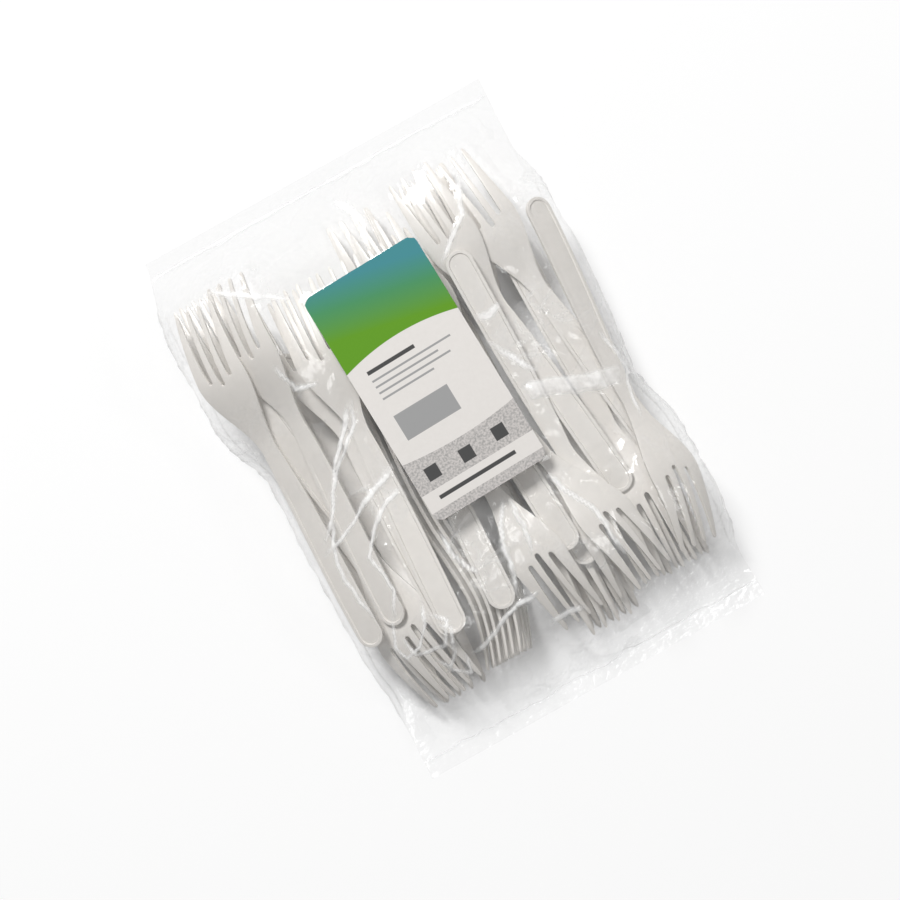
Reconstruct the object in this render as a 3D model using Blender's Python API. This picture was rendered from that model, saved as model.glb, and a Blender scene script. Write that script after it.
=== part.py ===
"""A pack of fifty white plastic forks in a clear film bag with a paper label on top.

The pack lies flat, label up. X is across the bag, Y along it towards the end that holds most
tines, Z up. The origin is on the table under the middle of the bag. Lengths are in metres.
"""

import math
from collections import namedtuple

import bmesh
import bpy
import numpy as np
from mathutils import Matrix

# Fork, moulded in one piece
HANDLE_LENGTH = 0.103
HEAD_BODY_LENGTH = 0.040
TINE_LENGTH = 0.035
HANDLE_WIDTH = 0.0132
NECK_WIDTH = 0.0082
HEAD_WIDTH = 0.0265
TIP_SPREAD = 0.0198
TINE_TIP_WIDTH = 0.0016
SLOT_WIDTH = 0.0023
SLOT_PITCH = 0.0057
MIDDLE_SLOT_EXTRA = 0.003
PLATE = 0.0017
HANDLE_RISE = 0.0070
BACK_RISE = 0.0066
TIP_DROP = 0.0105
HEAD_CROWN = 0.0012
RIM_WIDTH = 0.0014
PANEL_DEPTH = 0.0006
PANEL_END_ROOM = 0.018
PANEL_LENGTH = HANDLE_LENGTH - PANEL_END_ROOM
ROOTS_AT = HANDLE_LENGTH + HEAD_BODY_LENGTH
FORK_LENGTH = ROOTS_AT + TINE_LENGTH

# Contents: the forks lie head to tail, some in lanes, some on edge, the rest loose on top
END_STAGGER = 0.052
CONTENTS_LENGTH = FORK_LENGTH + END_STAGGER
CONTENTS_HALF_WIDTH = 0.082
PLACE_STEP = CONTENTS_HALF_WIDTH / 82
CONTACT = 0.0002
LANE_GAP = 0.0005
LANE_PITCH = (HEAD_WIDTH + HANDLE_WIDTH) / 2 + LANE_GAP
LEFT_LANE = -0.0752
MIDDLE_LANE = 0.0035
LANE_WANDER = 0.0005
LANE_SLIP = 0.0009
LANE_SLIDE = 0.003
EDGE_START = -0.0335
EDGE_PITCH = PLATE + 0.0017
EDGE_ROLL = 74
MOST_TILT_ALONG = 0.08
FREE_TILT_ACROSS = 0.12
HELD_TILT_ACROSS = 0.03
HELD_ROLL = 20

# Film bag, heat-sealed across both ends
FILM = 0.0003
FILM_CLEARANCE = 0.0003
END_ROOM = 0.0225
BAG_LENGTH = CONTENTS_LENGTH + 2 * END_ROOM
END_SPREAD = 0.007
BAG_WIDTH = 2 * (CONTENTS_HALF_WIDTH + END_SPREAD)
SEAL_WIDTH = 0.008
SEAL_OPENING = 0.0004
PAST_CONTENTS = 0.003
FILM_ROWS = 29
BESIDE_LABEL = 5
UNDER_LABEL = 6
EDGE_CROWDING = 1.2
SIDE_ZONE = 0.012
SIDE_FOLD = 0.45
SPARE_FILM_FADE = 0.035
TIGHTENING_ROUNDS = 250
CLEARING_ROUNDS = 80
VENT_RADIUS = 0.0025
VENT_FROM_SEAL = 0.009
VENT_CUTTER = 0.05

# Label, stuck to the top of the film
LABEL_WIDTH = 0.060
LABEL_LENGTH = 0.120
LABEL_THICKNESS = 0.0003
LABEL_CORNER = 0.0035
LABEL_LEAN = math.radians(2.3)
LABEL_X = -0.001
LABEL_Y = 0.027
LABEL_SEAT = 0.0003
LABEL_MARGIN = 0.0005
HEADER_LENGTH = 0.040
HEADER_BULGE = 0.005
BAND_LENGTH = 0.030
BAND_BULGE = -0.004
FOOT_LENGTH = 0.008

# Height maps of the pile
CELL = 0.0005
SAMPLE = 0.8 * CELL
MAP_MARGIN = 0.03
SLIP_RATIO = 0.2
FIRST_TILT = 0.06
LAST_TILT = 0.0005


def plastic(name, color, roughness, alpha=1.0):
    material = bpy.data.materials.new(name)
    material.use_nodes = True
    shader = material.node_tree.nodes["Principled BSDF"]
    shader.inputs["Base Color"].default_value = (*color, 1.0)
    shader.inputs["Roughness"].default_value = roughness
    shader.inputs["Metallic"].default_value = 0.0
    shader.inputs["Alpha"].default_value = alpha
    material.diffuse_color = (*color, alpha)
    return material


def clear_scene():
    for old in list(bpy.data.objects):
        bpy.data.objects.remove(old)


def ease(share):
    return share * share * (3 - 2 * share)


def add_object(name, bm, material):
    mesh = bpy.data.meshes.new(name)
    bm.to_mesh(mesh)
    bm.free()
    mesh.materials.append(material)
    mesh.shade_smooth()
    mesh.set_sharp_from_angle(angle=math.radians(35))
    part = bpy.data.objects.new(name, mesh)
    bpy.context.scene.collection.objects.link(part)
    return part


# Fork: a plate bent along its length, back upwards, origin at mid-length, tines towards +Y


def fork_half_width(along):
    """Half the width at this distance from the handle's end, without the slots."""
    radius = HANDLE_WIDTH / 2
    if along < radius:
        return math.sqrt(max(radius**2 - (radius - along) ** 2, 0.0))
    if along <= HANDLE_LENGTH:
        share = along / HANDLE_LENGTH
        return radius - (HANDLE_WIDTH - NECK_WIDTH) / 2 * share**3
    share = min((along - HANDLE_LENGTH) / HEAD_BODY_LENGTH, 1.0)
    return NECK_WIDTH / 2 + (HEAD_WIDTH - NECK_WIDTH) / 2 * ease(share)


def fork_height(along, across):
    """Height of the back above its lowest place, which is the neck."""
    if along < HANDLE_LENGTH:
        height = HANDLE_RISE * (1 - ease(along / HANDLE_LENGTH))
    elif along < ROOTS_AT:
        height = BACK_RISE * ease((along - HANDLE_LENGTH) / HEAD_BODY_LENGTH)
    else:
        height = BACK_RISE - TIP_DROP * ((along - ROOTS_AT) / TINE_LENGTH) ** 1.6
    return height - HEAD_CROWN * (2 * across / HEAD_WIDTH) ** 2


def fork_vertex(bm, across, along):
    """A vertex on the back of the fork."""
    return bm.verts.new((across, along - FORK_LENGTH / 2, fork_height(along, across)))


def tine_edges(share):
    """The left and right edges of the four tines, at this share of their length."""
    edges = []
    for place in (-1.5, -0.5, 0.5, 1.5):
        tip = place * TIP_SPREAD / 3
        if abs(place) < 1:
            root_inner = math.copysign(SLOT_WIDTH / 2, place)
            root_outer = math.copysign(SLOT_PITCH - SLOT_WIDTH / 2, place)
        else:
            root_inner = math.copysign(SLOT_PITCH + SLOT_WIDTH / 2, place)
            root_outer = math.copysign(HEAD_WIDTH / 2, place)
        sides = sorted((root_inner, root_outer))
        for side, offset in zip(sides, (-TINE_TIP_WIDTH / 2, TINE_TIP_WIDTH / 2)):
            edges.append(side + (tip + offset - side) * share)
    return edges


def build_handle(bm):
    """The strip from the rounded end to the head; returns its last row of vertices."""
    radius = HANDLE_WIDTH / 2
    end_arc = [radius * (1 - math.cos(math.radians(turn))) for turn in (24, 58, 90)]
    stations = [*end_arc, PANEL_LENGTH / 2, PANEL_LENGTH, HANDLE_LENGTH]
    stations += [HANDLE_LENGTH + HEAD_BODY_LENGTH * share for share in (0.35, 0.7)]
    rows = []
    for along in stations:
        half = fork_half_width(along)
        rows.append((fork_vertex(bm, -half, along), fork_vertex(bm, half, along)))
    panel = []
    for along, below, above in zip(stations[1:], rows, rows[1:]):
        face = bm.faces.new((below[0], below[1], above[1], above[0]))
        if along <= PANEL_LENGTH:
            panel.append(face)
    return rows[-1], panel


def build_tines(bm, neck):
    """The face between the neck and the slots, and the four tines."""
    lower = []
    for index, across in enumerate(tine_edges(0)):
        deeper = MIDDLE_SLOT_EXTRA if index in (3, 4) else 0.0
        lower.append(fork_vertex(bm, across, ROOTS_AT - deeper))
    bm.faces.new((*neck, *reversed(lower)))
    for share in (0.4, 0.75, 1.0):
        along = ROOTS_AT + TINE_LENGTH * share
        upper = [fork_vertex(bm, across, along) for across in tine_edges(share)]
        for left in range(0, len(upper), 2):
            bm.faces.new((lower[left], lower[left + 1], upper[left + 1], upper[left]))
        lower = upper


def build_fork_mesh():
    bm = bmesh.new()
    neck, panel = build_handle(bm)
    build_tines(bm, neck)
    bmesh.ops.inset_region(bm, faces=panel, thickness=RIM_WIDTH, depth=-PANEL_DEPTH)
    bmesh.ops.triangulate(bm, faces=bm.faces[:])
    bmesh.ops.solidify(bm, geom=bm.faces[:], thickness=PLATE)
    bmesh.ops.triangulate(bm, faces=bm.faces[:])
    bmesh.ops.recalc_face_normals(bm, faces=bm.faces[:])
    return bm


def surface_samples(bm):
    """Points all over the faces, closer together than a cell of the height maps."""
    points = []
    for face in bm.faces:
        a, b, c = (np.array(vert.co) for vert in face.verts)
        steps = int(max(np.linalg.norm(b - a), np.linalg.norm(c - a)) / SAMPLE) + 2
        share_b, share_c = np.meshgrid(np.linspace(0, 1, steps), np.linspace(0, 1, steps))
        inside = share_b + share_c <= 1.0001
        share_b = share_b[inside][:, None]
        share_c = share_c[inside][:, None]
        points.append(a + share_b * (b - a) + share_c * (c - a))
    return np.concatenate(points)


# Pile: each fork comes straight down, tilts as it settles, and stays clear of those below


class Pile:
    """Height of the top of the contents over a grid of cells, and how far they reach sideways."""

    def __init__(self, floor):
        half_x = BAG_WIDTH / 2 + MAP_MARGIN
        half_y = BAG_LENGTH / 2 + MAP_MARGIN
        self.corner = np.array((-half_x, -half_y))
        shape = (int(2 * half_x / CELL), int(2 * half_y / CELL))
        self.top = np.full(shape, floor)
        self.left = np.zeros(shape[1])
        self.right = np.zeros(shape[1])

    def cells(self, points):
        index = ((points[:, :2] - self.corner) / CELL).astype(int)
        return index[:, 0] * self.top.shape[1] + index[:, 1]

    def widened(self):
        """The top, with each cell as high as its highest neighbour."""
        padded = np.pad(self.top, 1, mode="edge")
        size_x, size_y = self.top.shape
        shifts = [padded[i : i + size_x, j : j + size_y] for i in range(3) for j in range(3)]
        return np.max(shifts, axis=0).ravel()

    def add(self, points):
        flat = self.top.reshape(-1)
        cells = self.cells(points)
        np.maximum.at(flat, cells, points[:, 2])
        rows = cells % self.top.shape[1]
        np.minimum.at(self.left, rows, points[:, 0])
        np.maximum.at(self.right, rows, points[:, 0])

    def highest(self, x_from, x_to, y_from, y_to):
        low = np.maximum(((np.array((x_from, y_from)) - self.corner) / CELL).astype(int), 0)
        high = ((np.array((x_to, y_to)) - self.corner) / CELL).astype(int) + 1
        return self.top[low[0] : high[0], low[1] : high[1]].max()


def lowest_in_cells(pile, points):
    """One point for each cell: its lowest."""
    cells = pile.cells(points)
    order = np.lexsort((points[:, 2], cells))
    _, first = np.unique(cells[order], return_index=True)
    return points[order[first]]


def sideways_slip(pile, surface, low, most):
    """How far a level fork slips sideways to lie lower."""
    cells = pile.cells(low)
    reach = int(most / CELL)
    best_shift, best_cost = 0, math.inf
    for shift in range(-reach, reach + 1):
        height = (surface[cells + shift * pile.top.shape[1]] - low[:, 2]).max()
        cost = height + SLIP_RATIO * abs(shift) * CELL
        if cost < best_cost - 1e-6:
            best_shift, best_cost = shift, cost
    return best_shift * CELL


def best_tilt(height, most_pitch, most_lean):
    """The slopes along and across a fork with which it lies lowest."""
    pitch = lean = 0.0
    best = height(pitch, lean)
    step = FIRST_TILT
    while step > LAST_TILT:
        moves = [(step, 0), (-step, 0), (0, step), (0, -step)]
        moves += [(step, step), (step, -step), (-step, step), (-step, -step)]
        tried = [
            (
                np.clip(pitch + move[0], -most_pitch, most_pitch),
                np.clip(lean + move[1], -most_lean, most_lean),
            )
            for move in moves
        ]
        heights = [height(*option) for option in tried]
        if min(heights) < best - 1e-7:
            best = min(heights)
            pitch, lean = tried[heights.index(best)]
        else:
            step /= 2
    return pitch, lean


def settle(pile, samples, spot):
    """The matrix with which a fork rests as low as it can on the pile."""
    up = 1 if spot.tines_up else -1
    lean = math.asin((spot.tips_x - spot.end_x) / FORK_LENGTH)
    half_span = FORK_LENGTH / 2 * math.cos(lean)
    place = ((spot.tips_x + spot.end_x) / 2, up * (CONTENTS_LENGTH / 2 - spot.end_gap - half_span))
    facing = Matrix.Rotation(-lean if spot.tines_up else math.pi + lean, 4, "Z")
    roll = math.radians(up * spot.roll)
    most_lean = FREE_TILT_ACROSS if abs(spot.roll) < HELD_ROLL else HELD_TILT_ACROSS
    surface = pile.widened() + CONTACT
    level = facing @ Matrix.Rotation(roll, 4, "Y")
    turned = samples @ np.array(level.to_3x3()).T
    low = lowest_in_cells(pile, turned + np.array((*place, 0.0)))
    shift = sideways_slip(pile, surface, low, spot.slide)
    place = (place[0] + shift, place[1])
    low[:, 0] += shift
    need = surface[pile.cells(low)] - low[:, 2]
    offset = low[:, :2] - np.array(place)
    along = offset @ np.array(facing.col[1][:2])
    across = offset @ np.array(facing.col[0][:2])

    def height(pitch, lean):
        return (need - pitch * along - lean * across).max()

    pitch, lean = best_tilt(height, MOST_TILT_ALONG, most_lean)
    tilt = Matrix.Rotation(math.atan(pitch), 4, "X") @ Matrix.Rotation(-math.atan(lean), 4, "Y")
    turn = facing @ tilt @ Matrix.Rotation(roll, 4, "Y")
    points = samples @ np.array(turn.to_3x3()).T + np.array((*place, 0.0))
    low = lowest_in_cells(pile, points)
    lift = (surface[pile.cells(low)] - low[:, 2]).max()
    pile.add(points + np.array((0.0, 0.0, lift)))
    return Matrix.Translation((*place, lift)) @ turn


# Layout: lanes of nested forks lie on the film, and the loose ones lie across them


# A fork's place: X of its tips and of its handle's end, how far the tips stay from the end of the
# contents, its roll in degrees (positive when the back faces +X), its way round, and how far it
# may slide sideways
Spot = namedtuple("Spot", "tips_x end_x end_gap roll tines_up slide")


def lane(count, middle, end_gap, tines_up):
    """Nested forks that lie flat, one over another."""
    spots = []
    for level in range(count):
        wander = LANE_WANDER * math.sin(2.4 * level + 6.56 * middle / CONTENTS_HALF_WIDTH)
        slip = LANE_SLIP * math.sin(1.9 * level + 4.1 * middle / CONTENTS_HALF_WIDTH)
        spots.append(
            Spot(middle + wander, middle - wander, PLACE_STEP * end_gap + slip, 0, tines_up, LANE_SLIDE)
        )
    return spots


def edge_group(count, first, end_gap, roll, tines_up):
    """Nested forks that stand on edge side by side."""
    places = [first + EDGE_PITCH * index for index in range(count)]
    return [Spot(place, place, PLACE_STEP * end_gap, roll, tines_up, 0) for place in places]


def loose(tips_x, end_x, end_gap, roll, tines_up):
    """A fork on its own, its places given in steps."""
    places = (PLACE_STEP * tips_x, PLACE_STEP * end_x, PLACE_STEP * end_gap)
    return Spot(*places, roll, tines_up, 0)


def layout():
    """Where each fork lies, from the first to be dropped to the last."""
    up, down = True, False
    return [
        *edge_group(6, EDGE_START, 9, EDGE_ROLL, down),
        *lane(4, LEFT_LANE, 4, up),
        *lane(4, LEFT_LANE + LANE_PITCH, 6, down),
        *lane(4, MIDDLE_LANE, 5, up),
        *lane(5, MIDDLE_LANE + LANE_PITCH, 2, down),
        *lane(5, MIDDLE_LANE + 2 * LANE_PITCH, 4, up),
        *lane(6, MIDDLE_LANE + 3 * LANE_PITCH, 8, down),
        loose(-66.0, -74.0, 6, -40, down),
        loose(-56.0, -74.0, 8, -20, down),
        loose(-45.0, -45.0, 21, -14, up),
        loose(20.0, 19.0, 0, 0, down),
        loose(15.0, 24.5, 22, 0, up),
        loose(56.0, 79.0, 4, 0, up),
        loose(-62.5, -64.0, 3, -32, up),
        loose(-81.5, -78.0, 7, -26, up),
        loose(37.5, 55.6, 1, -6, up),
        loose(39.0, 39.0, 9, 0, down),
        loose(11.0, 20.5, 12, 0, up),
        loose(-12.0, -18.5, 21, 0, up),
        loose(-35.4, -44.0, 20, 0, up),
        loose(75.0, 80.0, 13, 34, down),
        loose(9.3, -11.6, 9, 0, down),
        loose(49.0, 4.0, 11, 10, down),
    ]


def place_forks(material):
    bm = build_fork_mesh()
    samples = surface_samples(bm)
    shared = add_object("fork_01", bm, material)
    pile = Pile(FILM + FILM_CLEARANCE)
    for number, spot in enumerate(layout(), start=1):
        matrix = settle(pile, samples, spot)
        fork = shared
        if number > 1:
            fork = bpy.data.objects.new(f"fork_{number:02d}", shared.data)
            bpy.context.scene.collection.objects.link(fork)
        fork.location = matrix.to_translation()
        fork.rotation_euler = matrix.to_euler()
    return pile


# Film bag: one tube of clear film, welded flat across both ends


def label_reach():
    """Half the width and the length of the upright rectangle round the leaning label."""
    across, along = abs(math.sin(LABEL_LEAN)), math.cos(LABEL_LEAN)
    half_x = (LABEL_WIDTH * along + LABEL_LENGTH * across) / 2 + LABEL_MARGIN
    half_y = (LABEL_LENGTH * along + LABEL_WIDTH * across) / 2 + LABEL_MARGIN
    return half_x, half_y


def film_stations():
    """Y of each ring of the film, from the bottom end to the top one."""
    seal = BAG_LENGTH / 2 - SEAL_WIDTH
    full = CONTENTS_LENGTH / 2 + PAST_CONTENTS
    ends = [BAG_LENGTH / 2, seal, (seal + full) / 2]
    low = max(LABEL_Y - label_reach()[1], -0.9 * full)
    high = min(LABEL_Y + label_reach()[1], 0.9 * full)
    step = 2 * full / FILM_ROWS
    rows = [-full]
    for start, end in ((-full, low), (low, high), (high, full)):
        count = max(1, round((end - start) / step))
        rows.extend(np.linspace(start, end, count + 1)[1:])
    return np.array([*(-end for end in ends), *rows, *reversed(ends)])


def film_columns(left_side, right_side):
    """X of each point across the film, two of them on the label's edges."""
    left = max(LABEL_X - label_reach()[0], 0.8 * left_side)
    right = min(LABEL_X + label_reach()[0], 0.8 * right_side)
    beside = np.linspace(0, 1, BESIDE_LABEL + 1) ** EDGE_CROWDING
    under = np.linspace(left, right, UNDER_LABEL + 1)
    outer_left = left_side + (left - left_side) * beside
    outer_right = right_side - (right_side - right) * beside[::-1]
    return np.concatenate((outer_left, under[1:-1], outer_right))


def film_sides(pile, stations):
    """X of the film's two sides at each station; both reach equally far where they are widest."""
    rows = ((stations - pile.corner[1]) / CELL).astype(int)
    waist = CONTENTS_HALF_WIDTH + END_SPREAD * np.abs(stations) / (BAG_LENGTH / 2)
    sides = np.array((waist, waist))
    for index in range(1, len(stations) - 1):
        span = slice(rows[index - 1], rows[index + 1] + 1)
        reach = np.array((-pile.left[span].min(), pile.right[span].max()))
        sides[:, index] = np.maximum(sides[:, index], reach + FILM + FILM_CLEARANCE + CELL)
    spare = sides.max() - sides.max(axis=1)
    for side, slack in zip(sides, spare):
        from_widest = np.abs(stations - stations[side.argmax()])
        side += slack * np.clip(1 - from_widest / SPARE_FILM_FADE, 0, 1)
    return -sides[0], sides[1]


def cells_under_film(pile, x, stations):
    """For each cell, the three film points round it, their weights and the height to clear."""
    cells = np.stack(np.meshgrid(*(np.arange(size) for size in pile.top.shape), indexing="ij"), -1)
    cells = cells.reshape(-1, 2)
    places = (cells + 0.5) * CELL + pile.corner
    row = np.searchsorted(stations, places[:, 1]) - 1
    within = (row >= 0) & (row < len(stations) - 1)
    cells, places, row = cells[within], places[within], row[within]
    along = (places[:, 1] - stations[row]) / (stations[row + 1] - stations[row])
    line = x[row] * (1 - along[:, None]) + x[row + 1] * along[:, None]
    column = (line < places[:, :1]).sum(axis=1) - 1
    within = (column >= 0) & (column < x.shape[1] - 1)
    cells, row, along, line, column = (part[within] for part in (cells, row, along, line, column))
    places = places[within]
    left, right = (line[np.arange(len(line)), column + side] for side in (0, 1))
    across = (places[:, 0] - left) / (right - left)
    near = row * x.shape[1] + column
    far = near + x.shape[1]
    below = across >= along
    corners = np.array((near, np.where(below, near + 1, far), far + 1))
    least, most = np.minimum(across, along), np.maximum(across, along)
    weights = np.array((1 - most, most - least, least))
    need = pile.widened().reshape(pile.top.shape)[cells[:, 0], cells[:, 1]] + FILM_CLEARANCE + FILM
    return corners, weights, need


def lift_clear(z, held, cells, level):
    """Raises the film where it lies too low over the forks."""
    corners, weights, need = cells
    short = need - (weights * z[corners]).sum(axis=0)
    low = short > 0
    gain = short[low] * weights[:, low] / (weights[:, low] ** 2).sum(axis=0)
    lift = np.zeros(len(z))
    np.maximum.at(lift, corners[:, low], gain)
    lift[held] = 0
    return np.minimum(z + lift, np.maximum(z, level))


def neighbour_pulls(x, stations):
    """How much each film point is drawn towards its neighbours: left, right, below, above."""
    left = x[1:-1, 1:-1] - x[1:-1, :-2]
    right = x[1:-1, 2:] - x[1:-1, 1:-1]
    below = np.diff(stations)[:-1, None] + 0 * left
    above = np.diff(stations)[1:, None] + 0 * left
    across, along = left + right, below + above
    pulls = np.array((1 / (left * across), 1 / (right * across), 1 / (below * along), 1 / (above * along)))
    return pulls / pulls.sum(axis=0)


def side_heights(pile, x, stations):
    """How high the film folds over at each side of each station."""
    sides = np.full((len(stations), 2), 2 * FILM)
    for row in range(2, len(stations) - 2):
        reach = (stations[row - 1], stations[row + 1])
        left = pile.highest(x[row, 0], x[row, 0] + SIDE_ZONE, *reach)
        right = pile.highest(x[row, -1] - SIDE_ZONE, x[row, -1], *reach)
        sides[row] += SIDE_FOLD * np.array((left, right))
    return sides


def label_level(pile):
    """How high the film is under the label, clear of every fork there and close by."""
    reach_x, reach_y = label_reach()
    reach_x += 2 * reach_x / UNDER_LABEL
    reach_y += CONTENTS_LENGTH / FILM_ROWS
    top = pile.highest(LABEL_X - reach_x, LABEL_X + reach_x, LABEL_Y - reach_y, LABEL_Y + reach_y)
    return top + FILM_CLEARANCE + FILM


def draw_tight(pile, x, stations, under_label):
    """Heights of the film, drawn tight over the forks and held up flat under the label."""
    level = pile.top.max() + FILM_CLEARANCE + FILM
    reach_x, reach_y = label_reach()
    near_label = np.abs(x - LABEL_X) < reach_x + CELL
    near_label &= np.abs(stations - LABEL_Y)[:, None] < reach_y + CELL
    z = np.where(near_label, under_label, 0.5 * level)
    z[[0, 1, -2, -1]] = 2 * FILM
    z[[1, -2]] += SEAL_OPENING
    z[2:-2, [0, -1]] = side_heights(pile, x, stations)[2:-2]
    held = near_label.copy()
    held[[0, 1, -2, -1]] = True
    loose = ~held[1:-1, 1:-1]
    pulls = neighbour_pulls(x, stations)
    cells = cells_under_film(pile, x, stations)
    for _ in range(TIGHTENING_ROUNDS):
        around = z[1:-1, :-2], z[1:-1, 2:], z[:-2, 1:-1], z[2:, 1:-1]
        z[1:-1, 1:-1][loose] = (pulls * np.array(around)).sum(axis=0)[loose]
        z = lift_clear(z.ravel(), held.ravel(), cells, level).reshape(z.shape)
    for _ in range(CLEARING_ROUNDS):
        z = lift_clear(z.ravel(), held.ravel(), cells, level).reshape(z.shape)
    return z


def film_surface(pile):
    """Points over the top of the film, x, y and z by station, and its height at the label."""
    stations = film_stations()
    x = np.array([film_columns(*sides) for sides in zip(*film_sides(pile, stations))])
    under_label = label_level(pile)
    return x, stations, draw_tight(pile, x, stations, under_label), under_label


def film_shell(x, stations, z, inset):
    """A closed tube under the top surface, smaller by the inset on every side."""
    bm = bmesh.new()
    rings = []
    for row, along in enumerate(stations):
        left, right = x[row, 0] + inset, x[row, -1] - inset
        places = np.interp(x[row], x[row, [0, -1]], (left, right))
        ring = [
            bm.verts.new((across, along, height - inset))
            for across, height in zip(places, z[row])
        ]
        for across in (right, (left + right) / 2, left):
            ring.append(bm.verts.new((across, along, inset)))
        rings.append(ring)
    for near, far in zip(rings, rings[1:]):
        for index in range(len(near)):
            after = (index + 1) % len(near)
            bm.faces.new((near[index], near[after], far[after]))
            bm.faces.new((near[index], far[after], far[index]))
    bm.faces.new(rings[0])
    bm.faces.new(rings[-1])
    bmesh.ops.recalc_face_normals(bm, faces=bm.faces[:])
    return bm


def cut_vent(bag, material):
    """The round hole in the top sheet that lets the air out of the bag."""
    bm = bmesh.new()
    size = {"radius1": VENT_RADIUS, "radius2": VENT_RADIUS, "depth": VENT_CUTTER}
    bmesh.ops.create_cone(bm, cap_ends=True, segments=12, **size)
    cutter = add_object("vent_cutter", bm, material)
    along = BAG_LENGTH / 2 - SEAL_WIDTH - VENT_FROM_SEAL
    cutter.location = (0, along, 2 * FILM + VENT_CUTTER / 2)
    cutter.hide_render = True
    cutter.display_type = "WIRE"
    cut = bag.modifiers.new("Vent hole", "BOOLEAN")
    cut.object = cutter


def build_film(pile, material):
    """The bag, and the height at which it holds the label."""
    x, stations, z, under_label = film_surface(pile)
    bm = film_shell(x, stations, z, 0.0)
    hollow = film_shell(x[1:-1], stations[1:-1], z[1:-1], FILM)
    bmesh.ops.reverse_faces(hollow, faces=hollow.faces[:])
    inside = bpy.data.meshes.new("film_inside")
    hollow.to_mesh(inside)
    hollow.free()
    bm.from_mesh(inside)
    bpy.data.meshes.remove(inside)
    bag = add_object("film_bag", bm, material)
    cut_vent(bag, material)
    return under_label


# Label: a paper rectangle with rounded corners and a few fields of colour


def label_line(bm, base, bulge, columns):
    """A row of vertices across the label, bowed where two fields of colour meet."""
    half_width, half_length = LABEL_WIDTH / 2, LABEL_LENGTH / 2
    row = []
    for across in columns:
        along = base + bulge * (1 - (across / half_width) ** 2)
        if abs(base) == half_length and abs(across) == half_width:
            along -= math.copysign(LABEL_CORNER, base)
        row.append(bm.verts.new((across, along, 0)))
    return row


def build_label(under_label, materials):
    """The label, with one material for each field from its foot to its header."""
    half_width, half_length = LABEL_WIDTH / 2, LABEL_LENGTH / 2
    shares = (0.35, 0)
    left = [-half_width, LABEL_CORNER - half_width, *(-half_width * share for share in shares)]
    columns = left + [-across for across in reversed(left[:-1])]
    bm = bmesh.new()
    rows = [
        label_line(bm, -half_length, 0.0, columns),
        label_line(bm, FOOT_LENGTH - half_length, 0.0, columns),
        label_line(bm, BAND_LENGTH - half_length, BAND_BULGE, columns),
        label_line(bm, half_length - HEADER_LENGTH, HEADER_BULGE, columns),
        label_line(bm, half_length, 0.0, columns),
    ]
    for field, (lower, upper) in enumerate(zip(rows, rows[1:])):
        for index in range(len(columns) - 1):
            corners = (lower[index], lower[index + 1], upper[index + 1], upper[index])
            bm.faces.new(corners).material_index = field
    made = bmesh.ops.extrude_face_region(bm, geom=bm.faces[:])
    raised = [item for item in made["geom"] if isinstance(item, bmesh.types.BMVert)]
    bmesh.ops.translate(bm, verts=raised, vec=(0, 0, LABEL_THICKNESS))
    bmesh.ops.recalc_face_normals(bm, faces=bm.faces[:])
    label = add_object("label", bm, materials[0])
    for material in materials[1:]:
        label.data.materials.append(material)
    label.location = (LABEL_X, LABEL_Y, under_label + LABEL_SEAT)
    label.rotation_euler = (0, 0, LABEL_LEAN)


def build_pack():
    clear_scene()
    pile = place_forks(plastic("white_plastic", (0.72, 0.71, 0.68), 0.38))
    film = plastic("clear_film", (0.93, 0.94, 0.95), 0.12, 0.22)
    under_label = build_film(pile, film)
    paper = [
        plastic("label_foot", (0.86, 0.86, 0.85), 0.6),
        plastic("label_band", (0.42, 0.43, 0.42), 0.6),
        plastic("label_body", (0.86, 0.87, 0.85), 0.6),
        plastic("label_header", (0.13, 0.36, 0.22), 0.6),
    ]
    build_label(under_label, paper)


build_pack()
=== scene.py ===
import math
from functools import partial, reduce

import bmesh
import bpy
import numpy as np
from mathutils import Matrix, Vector


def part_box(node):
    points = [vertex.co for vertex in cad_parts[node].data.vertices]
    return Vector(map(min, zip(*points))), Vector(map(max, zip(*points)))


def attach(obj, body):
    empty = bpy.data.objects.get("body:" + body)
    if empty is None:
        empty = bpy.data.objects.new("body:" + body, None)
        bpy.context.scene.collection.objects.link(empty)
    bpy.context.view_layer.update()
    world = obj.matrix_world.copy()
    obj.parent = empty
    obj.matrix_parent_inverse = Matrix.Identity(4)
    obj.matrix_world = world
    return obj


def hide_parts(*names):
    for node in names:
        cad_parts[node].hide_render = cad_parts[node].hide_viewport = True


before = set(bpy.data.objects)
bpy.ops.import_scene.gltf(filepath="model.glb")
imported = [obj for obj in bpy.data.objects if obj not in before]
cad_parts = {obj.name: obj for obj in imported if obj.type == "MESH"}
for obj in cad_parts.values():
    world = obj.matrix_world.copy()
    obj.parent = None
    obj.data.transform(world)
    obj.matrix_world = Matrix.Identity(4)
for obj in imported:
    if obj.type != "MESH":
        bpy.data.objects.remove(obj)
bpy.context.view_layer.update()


# Forks: fifty, each moulded in one piece of white polypropylene, with a rimmed hollow along the
# back of the handle, a dished head and four pointed tines. They lie loose in the bag, backs
# upwards and head to tail, and nothing fixes them but the film.

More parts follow.
